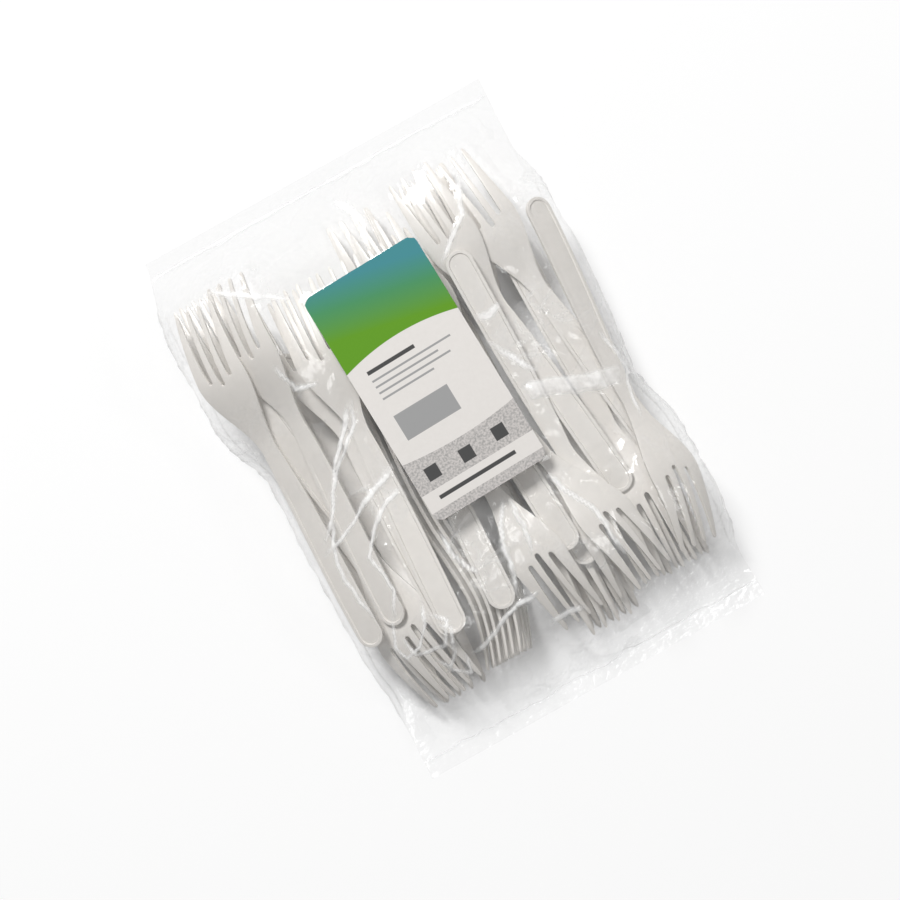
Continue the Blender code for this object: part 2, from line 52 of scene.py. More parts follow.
FORK_COUNT = 50
HANDLE_LENGTH = 0.103
HEAD_BODY_LENGTH = 0.040
TINE_LENGTH = 0.035
HANDLE_WIDTH = 0.0132
NECK_WIDTH = 0.0082
HEAD_WIDTH = 0.0265
TIP_SPREAD = 0.0198
TINE_TIP_WIDTH = 0.0016
SLOT_WIDTH = 0.0023
SLOT_PITCH = 0.0057
MIDDLE_SLOT_EXTRA = 0.003
PLATE = 0.0017
HANDLE_RISE = 0.0070
BACK_RISE = 0.0066
TIP_DROP = 0.0105
HEAD_CROWN = 0.0012
RIM_WIDTH = 0.0014
RIM_WALL = 0.0004
PANEL_DEPTH = 0.0006
PANEL_LENGTH = 0.085
PANEL_FADE = 0.010
EDGE_ROUND = 0.00055
TIP_ROUND = 0.0018
TIP_BLUNT = 0.985
TIP_THINNING = 0.3
TINE_BEND = 1.6
HEAD_COLUMNS_FROM = 0.02
SLOTS_BEND_FROM = 0.35
HOLLOW_COLUMNS, RIM_COLUMNS = 9, 4
ROUND_FROM = math.radians(66)
SHARP_FROM = math.radians(42)
MOST_MISS = 0.0002
ROOTS_AT = HANDLE_LENGTH + HEAD_BODY_LENGTH
FORK_LENGTH = ROOTS_AT + TINE_LENGTH


def ease(share):
    share = np.clip(share, 0.0, 1.0)
    return share * share * (3 - 2 * share)


def half_width(along):
    """Half the fork's width at this distance from the handle's end, without the slots."""
    radius = HANDLE_WIDTH / 2
    if along < radius:
        return math.sqrt(max(radius**2 - (radius - along) ** 2, 0.0))
    if along <= HANDLE_LENGTH:
        return radius - (HANDLE_WIDTH - NECK_WIDTH) / 2 * (along / HANDLE_LENGTH) ** 3
    opened = ease((along - HANDLE_LENGTH) / HEAD_BODY_LENGTH)
    return NECK_WIDTH / 2 + (HEAD_WIDTH - NECK_WIDTH) / 2 * opened


def back_height(along, across):
    """Height of the fork's back, from its lowest place at the neck."""
    handle = HANDLE_RISE * (1 - ease(along / HANDLE_LENGTH))
    body = BACK_RISE * ease((along - HANDLE_LENGTH) / HEAD_BODY_LENGTH)
    droop = TIP_DROP * np.clip((along - ROOTS_AT) / TINE_LENGTH, 0, None) ** TINE_BEND
    return handle + body - droop - HEAD_CROWN * (2 * across / HEAD_WIDTH) ** 2


def handle_columns(half):
    """Distances from the middle line on the handle: the hollow's floor, then the rim."""
    floor = half - RIM_WIDTH - RIM_WALL
    rim = np.linspace(half - RIM_WIDTH, half, RIM_COLUMNS)
    return np.array([*np.linspace(0, floor, HOLLOW_COLUMNS), *rim])


def head_columns(half):
    """Distances from the middle line on the head: half a slot, a tine, a slot and a tine."""
    slot = SLOT_WIDTH / 2
    bend = slot * math.sqrt(0.5)
    places = [0, bend, slot, *np.linspace(slot, SLOT_PITCH - slot, 4)[1:]]
    places += [SLOT_PITCH - bend, SLOT_PITCH, SLOT_PITCH + bend, SLOT_PITCH + slot]
    places += [*np.linspace(SLOT_PITCH + slot, HEAD_WIDTH / 2, 4)[1:]]
    return np.array(places) * half / (HEAD_WIDTH / 2)


def column_places(along):
    """Distances from the middle line, passing from the handle's columns to the head's."""
    half = half_width(along)
    start = PANEL_LENGTH - PANEL_FADE
    share = ease((along - start) / (HANDLE_LENGTH + HEAD_COLUMNS_FROM - start))
    return handle_columns(half) * (1 - share) + head_columns(half) * share


def root_places():
    """Where each column leaves the head: on the round end of a slot, or at a tine's root."""
    slot = SLOT_WIDTH / 2
    base = ROOTS_AT + slot
    places = []
    for index, across in enumerate(head_columns(HEAD_WIDTH / 2)):
        if index <= 2:
            places.append(base - MIDDLE_SLOT_EXTRA - math.sqrt(max(slot**2 - across**2, 0)))
        elif index <= 5:
            places.append(base - MIDDLE_SLOT_EXTRA * (5 - index) / 3)
        elif index <= 9:
            places.append(base - math.sqrt(max(slot**2 - (across - SLOT_PITCH) ** 2, 0)))
        else:
            places.append(base)
    return np.array(places)


def tine_places(first, last, shares):
    """Rows of (across, along) over one tine, from its root to its rounded tip."""
    roots = root_places()[first : last + 1]
    sides = head_columns(HEAD_WIDTH / 2)[first : last + 1]
    middle = TIP_SPREAD / 6 if first < 6 else TIP_SPREAD / 2
    spread = np.linspace(-0.5, 0.5, last - first + 1)
    rows = []
    for share in shares:
        along = roots + (FORK_LENGTH - roots) * share
        left = np.clip((along - (FORK_LENGTH - TIP_ROUND)) / TIP_ROUND, 0, TIP_BLUNT)
        tip = middle + spread * TINE_TIP_WIDTH
        across = sides + (tip - sides) * share
        centre = across.mean()
        rows.append((centre + (across - centre) * np.sqrt(1 - left**2), along))
    return rows


def fork_plan():
    """Points (across, along, depth of the hollow) over the back of the fork, and its faces."""
    points, faces = [], []

    def add_row(across, along, depth):
        start = len(points)
        points.extend(zip(across, along, depth))
        return list(range(start, len(points)))

    def join(lower, upper):
        for left in range(len(lower) - 1):
            faces.append((lower[left], lower[left + 1], upper[left + 1], upper[left]))

    radius = HANDLE_WIDTH / 2
    roots = root_places()
    base = ROOTS_AT + SLOT_WIDTH / 2
    bends_from = HANDLE_LENGTH + SLOTS_BEND_FROM * HEAD_BODY_LENGTH
    stations = [*np.linspace(radius, HANDLE_LENGTH, 27), *np.linspace(HANDLE_LENGTH, base, 15)[1:]]
    hollow = np.array([1.0] * HOLLOW_COLUMNS + [0.0] * RIM_COLUMNS)
    middle = len(hollow) - 1
    rows = []
    for along in stations:
        side = column_places(along)
        bent = max((along - bends_from) / (base - bends_from), 0) ** 2
        reach = along + bent * (roots - base)
        depth = hollow * PANEL_DEPTH * ease((PANEL_LENGTH - along) / PANEL_FADE)
        across = [*-side[:0:-1], *side]
        rows.append(add_row(across, [*reach[:0:-1], *reach], [*depth[:0:-1], *depth]))
    for lower, upper in zip(rows, rows[1:]):
        join(lower, upper)

    rings = column_places(radius)
    turns = np.radians(np.linspace(0, 180, 15))
    inner = [rows[0][middle]] * len(turns)
    for ring in range(1, middle + 1):
        across = rings[ring] * np.cos(turns[1:-1])
        along = radius - rings[ring] * np.sin(turns[1:-1])
        arc = add_row(across, along, [hollow[ring] * PANEL_DEPTH] * len(across))
        outer = [rows[0][middle + ring], *arc, rows[0][middle - ring]]
        for step in range(len(turns) - 1):
            corners = (inner[step], inner[step + 1], outer[step + 1], outer[step])
            faces.append(tuple(dict.fromkeys(corners)))
        inner = outer

    shares = (0.09, 0.2, 0.33, 0.47, 0.6, 0.72, 0.82, 0.9, 0.955, 0.985, 1.0)
    for first, last in ((2, 5), (9, 12)):
        for way in (1, -1):
            lower = [rows[-1][middle + way * column] for column in range(first, last + 1)]
            for across, along in tine_places(first, last, shares):
                upper = add_row(way * across, along, [0.0] * len(across))
                corners = (lower, upper) if way > 0 else (lower[::-1], upper[::-1])
                join(*corners)
                lower = upper
    return np.array(points), faces


def fork_mesh():
    """The whole fork, back upwards, middle of its length at the origin and tines towards +Y."""
    plan, faces = fork_plan()
    across, along, depth = plan.T
    height = back_height(along, across)
    small = 1e-5
    slope_x = (back_height(along, across + small) - height) / small
    slope_y = (back_height(along + small, across) - height) / small
    normal = np.stack((-slope_x, -slope_y, np.ones_like(height)), axis=1)
    normal /= np.linalg.norm(normal, axis=1)[:, None]
    thickness = PLATE * (1 - TIP_THINNING * np.clip((along - ROOTS_AT) / TINE_LENGTH, 0, 1))
    back = np.stack((across, along - FORK_LENGTH / 2, height), axis=1)
    front = back - normal * thickness[:, None]
    back[:, 2] -= depth
    count = len(back)
    edges = dict.fromkeys(edge for face in faces for edge in zip(face, (*face[1:], face[0])))
    open_edges = [(start, end) for start, end in edges if (end, start) not in edges]
    rims = [(end, start, start + count, end + count) for start, end in open_edges]
    under = [tuple(corner + count for corner in reversed(face)) for face in faces]
    mesh = bpy.data.meshes.new("fork")
    mesh.from_pydata(np.concatenate((back, front)).tolist(), [], [*faces, *rims, *under])
    mesh.validate()
    return mesh


def new_object(name, data):
    made = bpy.data.objects.new(name, data)
    bpy.context.scene.collection.objects.link(made)
    return made


def with_rounded_edges(mesh):
    """A copy of the mesh with its sharp outline rounded as a mould leaves it."""
    blank = new_object("fork_blank", mesh)
    bevel = blank.modifiers.new("Rounded edges", "BEVEL")
    bevel.width = EDGE_ROUND
    bevel.segments = 3
    bevel.limit_method = "ANGLE"
    bevel.angle_limit = ROUND_FROM
    bevel.use_clamp_overlap = True
    graph = bpy.context.evaluated_depsgraph_get()
    rounded = bpy.data.meshes.new_from_object(blank.evaluated_get(graph))
    bpy.data.objects.remove(blank)
    return rounded


def coordinates(mesh):
    points = np.empty(len(mesh.vertices) * 3)
    mesh.vertices.foreach_get("co", points)
    return points.reshape(-1, 3)


def corner_indices(mesh):
    mesh.calc_loop_triangles()
    corners = np.empty(len(mesh.loop_triangles) * 3, int)
    mesh.loop_triangles.foreach_get("vertices", corners)
    return corners.reshape(-1, 3)


def main_axes(points, corners):
    """The centre of a solid and its three main directions, longest first."""
    a, b, c = (points[corners[:, index]] for index in range(3))
    volume = np.einsum("ij,ij->i", a, np.cross(b, c)) / 6
    total = a + b + c
    centre = (volume[:, None] * total / 4).sum(axis=0) / volume.sum()
    spread = sum(np.einsum("i,ij,ik->jk", volume / 20, side, side) for side in (a, b, c, total))
    spread = spread / volume.sum() - np.outer(centre, centre)
    return centre, np.linalg.eigh(spread)[1][:, ::-1]


def back_marks():
    """Points on the outline of the fork's back at which the solid has its corners."""
    radius = HANDLE_WIDTH / 2
    stations = [radius * (1 - math.cos(math.radians(turn))) for turn in (24, 58, 90)]
    stations += [PANEL_LENGTH / 2, PANEL_LENGTH, HANDLE_LENGTH]
    stations += [HANDLE_LENGTH + HEAD_BODY_LENGTH * share for share in (SLOTS_BEND_FROM, 0.7)]
    marks = [(side * half_width(along), along) for along in stations for side in (-1, 1)]
    across, along = np.array(marks).T
    return np.stack((across, along - FORK_LENGTH / 2, back_height(along, across)), axis=1)


def fork_pose(node, centre, axes, marks):
    """The turn and the shift that carry the fork at the origin to its place in the bag."""
    points = coordinates(node.data)
    there, their_axes = main_axes(points, corner_indices(node.data))
    best = (math.inf, None, None)
    for signs in ((1, 1), (1, -1), (-1, 1), (-1, -1)):
        flip = np.diag((*signs, 1.0))
        turn = their_axes @ flip @ axes.T
        if np.linalg.det(turn) < 0:
            turn = their_axes @ np.diag((*signs, -1.0)) @ axes.T
        shift = there - turn @ centre
        for _ in range(3):
            placed = marks @ turn.T + shift
            distance = np.linalg.norm(placed[:, None] - points[None], axis=2)
            nearest = points[distance.argmin(axis=1)]
            from_middle, to_middle = marks.mean(axis=0), nearest.mean(axis=0)
            u, _, vt = np.linalg.svd((marks - from_middle).T @ (nearest - to_middle))
            turn = vt.T @ np.diag((1, 1, np.linalg.det(vt.T @ u.T))) @ u.T
            shift = to_middle - turn @ from_middle
        miss = np.linalg.norm(marks @ turn.T + shift - nearest, axis=1).max()
        if miss < best[0]:
            best = (miss, turn, shift)
    return best


def fine_grain_group():
    """Soft mottling for a moulded or printed surface: its mask and a small height."""
    group = bpy.data.node_groups.new("fine_grain", "ShaderNodeTree")
    for name, value in (("Scale", 200.0), ("Detail", 3.0)):
        socket = group.interface.new_socket(name, in_out="INPUT", socket_type="NodeSocketFloat")
        socket.default_value = value
    for name in ("Mottling", "Height"):
        group.interface.new_socket(name, in_out="OUTPUT", socket_type="NodeSocketFloat")
    inputs = group.nodes.new("NodeGroupInput")
    outputs = group.nodes.new("NodeGroupOutput")
    place = group.nodes.new("ShaderNodeTexCoord")
    broad = group.nodes.new("ShaderNodeTexNoise")
    fine = group.nodes.new("ShaderNodeTexNoise")
    closer = group.nodes.new("ShaderNodeMath")
    closer.operation = "MULTIPLY"
    closer.inputs[1].default_value = 6.0
    link = group.links.new
    link(place.outputs["Object"], broad.inputs["Vector"])
    link(place.outputs["Object"], fine.inputs["Vector"])
    link(inputs.outputs["Scale"], broad.inputs["Scale"])
    link(inputs.outputs["Detail"], broad.inputs["Detail"])
    link(inputs.outputs["Scale"], closer.inputs[0])
    link(closer.outputs[0], fine.inputs["Scale"])
    link(broad.outputs["Fac"], outputs.inputs["Mottling"])
    link(fine.outputs["Fac"], outputs.inputs["Height"])
    return group


fine_grain = fine_grain_group()


def grain_in(tree, scale, detail=3.0):
    """The mottling and the small height of the fine grain, in a material's own scale."""
    grain = tree.nodes.new("ShaderNodeGroup")
    grain.node_tree = fine_grain
    grain.inputs["Scale"].default_value = scale
    grain.inputs["Detail"].default_value = detail
    return grain.outputs["Mottling"], grain.outputs["Height"]


def new_material(name):
    material = bpy.data.materials.new(name)
    material.use_nodes = True
    return material, material.node_tree, material.node_tree.nodes["Principled BSDF"]


def shade_between(tree, mask, dark, light):
    """A colour that runs from dark to light with the mask."""
    mix = tree.nodes.new("ShaderNodeMix")
    mix.data_type = "RGBA"
    mix.inputs["A"].default_value = (*dark, 1)
    mix.inputs["B"].default_value = (*light, 1)
    tree.links.new(mask, mix.inputs["Factor"])
    return mix.outputs["Result"]


def value_between(tree, mask, low, high):
    """A number that runs from low to high with the mask."""
    span = tree.nodes.new("ShaderNodeMapRange")
    span.inputs["To Min"].default_value = low
    span.inputs["To Max"].default_value = high
    tree.links.new(mask, span.inputs["Value"])
    return span.outputs["Result"]


def bumped(tree, height, distance, strength=1.0):
    """The normal of a surface with this height on it."""
    bump = tree.nodes.new("ShaderNodeBump")
    bump.inputs["Strength"].default_value = strength
    bump.inputs["Distance"].default_value = distance
    tree.links.new(height, bump.inputs["Height"])
    return bump.outputs["Normal"]


def white_plastic():
    """Smooth moulded plastic, faintly mottled."""
    material, tree, shader = new_material("white_plastic")
    shader.inputs["IOR"].default_value = 1.49
    mottling, height = grain_in(tree, 160.0, 2.0)
    colour = shade_between(tree, mottling, (0.67, 0.64, 0.60), (0.73, 0.70, 0.66))
    tree.links.new(colour, shader.inputs["Base Color"])
    tree.links.new(value_between(tree, mottling, 0.30, 0.42), shader.inputs["Roughness"])
    tree.links.new(bumped(tree, height, 0.00002), shader.inputs["Normal"])
    return material


moulded = with_rounded_edges(fork_mesh())
moulded.materials.append(white_plastic())
moulded_points = coordinates(moulded)
moulded_centre, moulded_axes = main_axes(moulded_points, corner_indices(moulded))
edge_ends = np.empty(len(moulded.edges) * 2, int)
moulded.edges.foreach_get("vertices", edge_ends)
edge_from, edge_to = moulded_points[edge_ends.reshape(-1, 2)].transpose(1, 0, 2)
edge_way = edge_to - edge_from
edge_samples = np.concatenate([edge_from + edge_way * share for share in (0, 0.2, 0.4, 0.6, 0.8)])
contents = []
for number in range(1, FORK_COUNT + 1):
    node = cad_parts[f"fork_{number:02d}"]
    miss, turn, shift = fork_pose(node, moulded_centre, moulded_axes, back_marks())
    if miss > MOST_MISS:
        raise RuntimeError(f"{node.name} isn't shaped as the other forks, by {miss * 1000:.2f} mm")
    mesh = moulded.copy()
    mesh.vertices.foreach_set("co", (moulded_points @ turn.T + shift).ravel())
    mesh.update()
    mesh.shade_smooth()
    mesh.set_sharp_from_angle(angle=SHARP_FROM)
    fork = new_object(f"white_fork_{number:02d}", mesh)
    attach(fork, "root")
    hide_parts(node.name)
    contents.append(edge_samples @ turn.T + shift)
contents = np.concatenate(contents)


# Film bag: one tube of clear polypropylene film, 0.05 mm thick, welded across both ends round
# the forks. It is drawn tight over the pile, level under the label, with creases from there to
# its sides, and empty and crumpled at both ends. Painted highlights run along its creases and
# folds, and a painted reflection lies on its crumpled facets.

BAG_LENGTH = 0.275
BAG_HALF_WIDTH = 0.089
BAG_WAIST = 0.082
WELD_FROM_END = 0.008
FILM_GAP = 0.0006
FLAT_HEIGHT = 0.0006
UNDERSIDE = 0.0002
SIDE_ZONE = 0.012
SIDE_FOLD = 0.45
SIDE_GAP = 0.0022
MOST_CURL = 0.004
WELD_FADE = 0.03
LOOSE_ABOVE = 0.006
LABEL_WIDTH = 0.060
LABEL_LENGTH = 0.120
LABEL_LEAN = math.radians(2.3)
LABEL_MIDDLE = (-0.001, 0.027)
LABEL_GAP = 0.0005
LABEL_BORDER = 0.0004
LABEL_HOLD = 0.0015
LABEL_FADE = 0.008
BROAD_CREASE = 3

# Creases, in millimetres: the places (x, y) that each runs through, its height and its width
# Each crease also carries a painted highlight along it, a broad soft band where the crease is wide.
CREASES = [
    (((-34.7, 38), (-56, 12), (-79.7, -19)), 0.9, 1.2),
    (((-30.1, 2), (-55, -11), (-82, -23.5)), 0.9, 1.2),
    (((-31, -8), (-44, -13.9), (-64.8, -32.4), (-60.2, -50.9), (-69.4, -64.8)), 0.8, 1.1),
    (((-69.4, -69.4), (-66, -82), (-52, -86), (-46.3, -76), (-55, -68)), 0.7, 1),
    (((-60, -88), (-56, -98), (-49, -103), (-47, -92)), 0.7, 1),
    (((-46.3, -94.9), (-13.9, -85.6), (0, -83.3)), 0.8, 1.2),
    (((-70, -5), (-80, -36), (-74, -60)), 0.6, 1.2),
    (((31, 1), (52, -7), (84, -17)), 1.4, 3.6),
    (((33, 42), (40, 38), (47, 40)), 0.8, 2.4),
    (((31, 70), (50, 84), (60, 104)), 0.6, 1.6),
    (((-33, 88), (-50, 97), (-70, 112)), 0.6, 1.4),
    (((5, 89), (9, 103), (2, 122)), 0.6, 1.6),
    (((3, -36), (-8, -60), (-12, -84)), 0.5, 1.2),
    (((24, -35), (36, -58), (42, -92)), 0.5, 1.4),
    (
        ((-52.5, -60.4), (-56.6, -72.5), (-62.7, -79.6), (-70.5, -81.2), (-73.7, -73.6), (-68.5, -59.5)),
        0.6,
        1,
    ),
    (((-51.8, -75.2), (-45.7, -79.6), (-50.4, -90.8), (-59.4, -98.5)), 0.6, 1),
    (((-31.3, -34.6), (-29, -48.6), (-23.5, -65.5)), 0.5, 1),
    (((5.4, -39.2), (6.4, -54.6), (1.6, -67.9)), 0.6, 1.1),
    (((-6.2, -99), (3.3, -99), (11.5, -102.5)), 0.6, 1.8),
    (((-58.6, 66.5), (-56.6, 51.1), (-44.9, 48.3)), 0.5, 1.2),
    (((-33.1, 39), (-41, 24.9), (-66, -0.9)), 0.6, 1.1),
    (((28.1, 36.7), (35.3, 21), (47, 3.9)), 0.6, 1.3),
    (((80.7, 7.3), (82.5, -16), (76.6, -38.1)), 0.5, 1.1),
]

# The film's heights are worked out on a grid of square cells that reaches past the bag.
CELL = 0.0012
SMOOTH_CELLS = 8
SIDE_CELLS, HEAP_CELLS = 17, 4
START_HEIGHT = 0.02
half_x, half_y = 0.1002, 0.1404
cells_x = np.arange(-half_x, half_x + CELL / 2, CELL)
cells_y = np.arange(-half_y, half_y + CELL / 2, CELL)
grid_x, grid_y = np.meshgrid(cells_x, cells_y, indexing="ij")


def widest(values, size):
    """The running maximum over a window of this many cells either side."""
    padded = np.pad(values, size, mode="edge")
    return np.max([padded[shift : shift + len(values)] for shift in range(2 * size + 1)], axis=0)


def smooth_line(values, size):
    """The values evened out over a window of this many cells either side."""
    weights = np.hanning(2 * size + 3)[1:-1]
    return np.convolve(np.pad(values, size, mode="edge"), weights / weights.sum(), mode="valid")


def pile_top():
    """How high the forks reach over each cell of the bag, widened by a cell."""
    top = np.zeros(grid_x.shape)
    index_x = np.rint((contents[:, 0] + half_x) / CELL).astype(int)
    index_y = np.rint((contents[:, 1] + half_y) / CELL).astype(int)
    np.maximum.at(top, (index_x, index_y), contents[:, 2])
    padded = np.pad(top, 1, mode="edge")
    shifts = [padded[i : i + top.shape[0], j : j + top.shape[1]] for i in range(3) for j in range(3)]
    return np.max(shifts, axis=0), index_y


def side_line(index_y, way):
    """How far the film reaches to one side at each row of cells."""
    reach = np.zeros(len(cells_y))
    np.maximum.at(reach, index_y, way * contents[:, 0])
    taper = np.abs(cells_y) / (BAG_LENGTH / 2)
    loose = BAG_WAIST + (BAG_HALF_WIDTH - BAG_WAIST) * np.minimum(taper, 1)
    return smooth_line(np.maximum(widest(reach, SIDE_CELLS) + SIDE_GAP, loose), SMOOTH_CELLS)


def past_label(x, y):
    """How far outside the label's edges a place is, below zero under the label."""
    dx, dy = x - LABEL_MIDDLE[0], y - LABEL_MIDDLE[1]
    across = dx * math.cos(LABEL_LEAN) + dy * math.sin(LABEL_LEAN)
    along = dy * math.cos(LABEL_LEAN) - dx * math.sin(LABEL_LEAN)
    return np.maximum(np.abs(across) - LABEL_WIDTH / 2, np.abs(along) - LABEL_LENGTH / 2)


def mean_around(surface):
    """The mean of the four neighbours of each inner cell."""
    return (surface[:-2, 1:-1] + surface[2:, 1:-1] + surface[1:-1, :-2] + surface[1:-1, 2:]) / 4


def drawn_tight(floor, held, start, rounds=700):
    """The taut surface that stays above the floor and on the held cells."""
    surface = np.maximum(start, floor)
    for _ in range(rounds):
        surface[1:-1, 1:-1] = np.maximum(mean_around(surface), floor[1:-1, 1:-1])
        surface[held] = floor[held]
    return surface


def taut_film(top, left_side, right_side):
    """Heights of the film over the cells: coarse first, then finer and finer."""
    floor = np.maximum(top + FILM_GAP, FLAT_HEIGHT)
    under_label = past_label(grid_x, grid_y) < LABEL_BORDER
    floor[under_label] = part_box("label")[0].z - LABEL_GAP
    outside = (grid_x < -left_side) | (grid_x > right_side)
    closing = np.clip((BAG_LENGTH / 2 - WELD_FROM_END - np.abs(cells_y)) / WELD_FADE, 0, 1)
    near_side = (grid_x < SIDE_ZONE - left_side) | (grid_x > right_side - SIDE_ZONE)
    for part in (grid_x < 0, grid_x > 0):
        heap = np.where(part & near_side, top, 0).max(axis=0)
        fold = smooth_line(SIDE_FOLD * widest(heap, HEAP_CELLS), SMOOTH_CELLS)
        fold = fold * closing + FLAT_HEIGHT
        floor = np.where(outside & part, fold[None], floor)
    welded = np.abs(grid_y) > BAG_LENGTH / 2 - WELD_FROM_END
    floor[welded] = FLAT_HEIGHT
    held = outside | welded | under_label
    surface = np.full(top.shape, START_HEIGHT)
    for step in (6, 3, 1):
        parts = (array[::step, ::step] for array in (floor, held, surface))
        part = drawn_tight(*parts)
        at_x, at_y = (np.arange(size) / step for size in top.shape)
        rows = np.array([np.interp(at_x, np.arange(part.shape[0]), column) for column in part.T]).T
        surface = np.array([np.interp(at_y, np.arange(part.shape[1]), row) for row in rows])
    for _ in range(3):
        inner = surface[1:-1, 1:-1]
        surface[1:-1, 1:-1] = np.where(held[1:-1, 1:-1], inner, mean_around(surface))
    return surface


def distance_to_line(x, y, places):
    """How far each point is from a line through these places, and its share of the line."""
    nearest = np.full(x.shape, np.inf)
    share = np.zeros(x.shape)
    lengths = [math.dist(*pair) for pair in zip(places, places[1:])]
    gone = 0.0
    for (start, end), length in zip(zip(places, places[1:]), lengths):
        way = (np.array(end) - start) / length
        part = np.clip((x - start[0]) * way[0] + (y - start[1]) * way[1], 0, length)
        distance = np.hypot(x - start[0] - way[0] * part, y - start[1] - way[1] * part)
        closer = distance < nearest
        nearest = np.where(closer, distance, nearest)
        share = np.where(closer, (gone + part) / sum(lengths), share)
        gone += length
    return nearest, share


def creases_at(x, y):
    """The height that the creases add to the film in metres, and the painted highlight along them."""
    total, sharp = np.zeros(x.shape), np.zeros(x.shape)

    # The lines waver by about a millimetre, so that no crease is quite straight.
    wander_x = x * 1000 + 0.9 * np.sin(y * 210) + 0.2 * np.sin(y * 640 + 1)
    wander_y = y * 1000 + 0.9 * np.sin(x * 190 + 2) + 0.2 * np.sin(x * 590)
    for places, height, width in CREASES:
        distance, share = distance_to_line(wander_x, wander_y, places)
        fade = np.clip(np.minimum(share, 1 - share) * 6, 0, 1)
        broad = width > BROAD_CREASE
        reach, drop, strength = (width, 8, 0.6) if broad else (0.5 * width, 4, 1.0)
        total += height / 1000 * fade / (1 + (distance / width) ** 4)
        # The white, kept in sharp, is a painted highlight along the crease: a thin bright line, or a
        # broader, softer band on a wide crease.
        white = fade * np.minimum(1.5 / (1 + (distance / reach) ** drop), 1)
        sharp = np.maximum(sharp, white * strength)
    return total, sharp


def between_cells(values, x, y):
    """Values of the cells at any points."""
    place_x = np.clip((x + half_x) / CELL, 0, len(cells_x) - 1.001)
    place_y = np.clip((y + half_y) / CELL, 0, len(cells_y) - 1.001)
    low_x, low_y = place_x.astype(int), place_y.astype(int)
    share_x, share_y = place_x - low_x, place_y - low_y
    near = values[low_x, low_y] * (1 - share_x) + values[low_x + 1, low_y] * share_x
    far = values[low_x, low_y + 1] * (1 - share_x) + values[low_x + 1, low_y + 1] * share_x
    return near * (1 - share_y) + far * share_y


def turned_outwards(mesh, merged=False):
    """The mesh with its faces outwards, after its doubled points are merged where asked."""
    bm = bmesh.new()
    bm.from_mesh(mesh)
    if merged:
        bmesh.ops.remove_doubles(bm, verts=bm.verts[:], dist=1e-6)
        bmesh.ops.dissolve_degenerate(bm, edges=bm.edges[:], dist=1e-7)
    bmesh.ops.recalc_face_normals(bm, faces=bm.faces[:])
    bm.to_mesh(mesh)
    bm.free()
    return mesh


def film_mesh(columns=244, side_steps=6, under_columns=22, rows=336):
    """The closed tube, ring by ring, with how loose the film is at each point and the painted highlight
    along its creases.
    """
    top, sample_rows = pile_top()
    left_side, right_side = side_line(sample_rows, -1), side_line(sample_rows, 1)
    surface = taut_film(top, left_side, right_side)
    turn = np.linspace(0, math.pi, columns + 1)
    down = np.radians(np.linspace(0, 90, side_steps + 1))[1:]
    points, loose, crease_glint = [], [], []
    for y in np.linspace(-BAG_LENGTH / 2, BAG_LENGTH / 2, rows + 1):
        left, right = (np.interp(y, cells_y, side) for side in (left_side, right_side))
        across = (right - left) / 2 - (right + left) / 2 * np.cos(turn)
        level_y = np.full(across.shape, y)
        z = between_cells(surface, across, level_y)
        free = np.clip((past_label(across, y) - LABEL_HOLD) / LABEL_FADE, 0, 1)
        lift, sharp = creases_at(across, level_y)
        above = z - between_cells(top, across, level_y) - FILM_GAP
        clear = np.clip(above / LOOSE_ABOVE, 0, 1)
        z = z + free * lift
        ring = np.stack((across, level_y, z), axis=1)
        sides = []
        for way, edge, height in ((1, right, z[-1]), (-1, left, z[0])):
            curl = min(0.5 * height, MOST_CURL)
            side_x = way * (edge - curl * (1 - np.cos(down)))
            side_z = UNDERSIDE + (height - UNDERSIDE) * (1 - np.sin(down))
            sides.append(np.stack((side_x, np.full(down.shape, y), side_z), axis=1))
        flat_x = np.linspace(sides[0][-1, 0], sides[1][-1, 0], under_columns + 1)[1:-1]
        flat = np.stack((flat_x, *(np.full(flat_x.shape, level) for level in (y, UNDERSIDE))), axis=1)
        points.append(np.concatenate((ring, sides[0], flat, sides[1][::-1])))
        rest = len(points[-1]) - len(ring)
        loose.extend([*(free * clear), *[0.0] * rest])
        # The painted highlight along the creases, kept where the film is free of the label.
        crease_glint.extend([*(free * sharp), *[0.0] * rest])
    points = np.array(points)
    count = points.shape[1]
    index = np.arange(points.shape[0] * count).reshape(-1, count)
    after = np.roll(index, -1, axis=1)
    quads = np.stack((index[:-1], after[:-1], after[1:], index[1:]), axis=-1).reshape(-1, 4)
    mesh = bpy.data.meshes.new("clear_bag")
    mesh.from_pydata(points.reshape(-1, 3).tolist(), [], quads.tolist())
    for name, values in (("loose", loose), ("crease_glint", crease_glint)):
        mesh.attributes.new(name, "FLOAT", "POINT").data.foreach_set("value", values)
    return turned_outwards(mesh)


def worked_out(tree, kind, *values, clamp=False):
    """The result of one sum, of numbers or sockets."""
    node = tree.nodes.new("ShaderNodeMath")
    node.operation = kind
    node.use_clamp = clamp
    for socket, value in zip(node.inputs, values):
        if isinstance(value, (int, float)):
            socket.default_value = value
        else:
            tree.links.new(value, socket)
    return node.outputs[0]


def times(tree, first, second, clamp=False):
    return worked_out(tree, "MULTIPLY", first, second, clamp=clamp)


def read_attribute(tree, name):
    node = tree.nodes.new("ShaderNodeAttribute")
    node.attribute_name = name
    return node.outputs["Fac"]


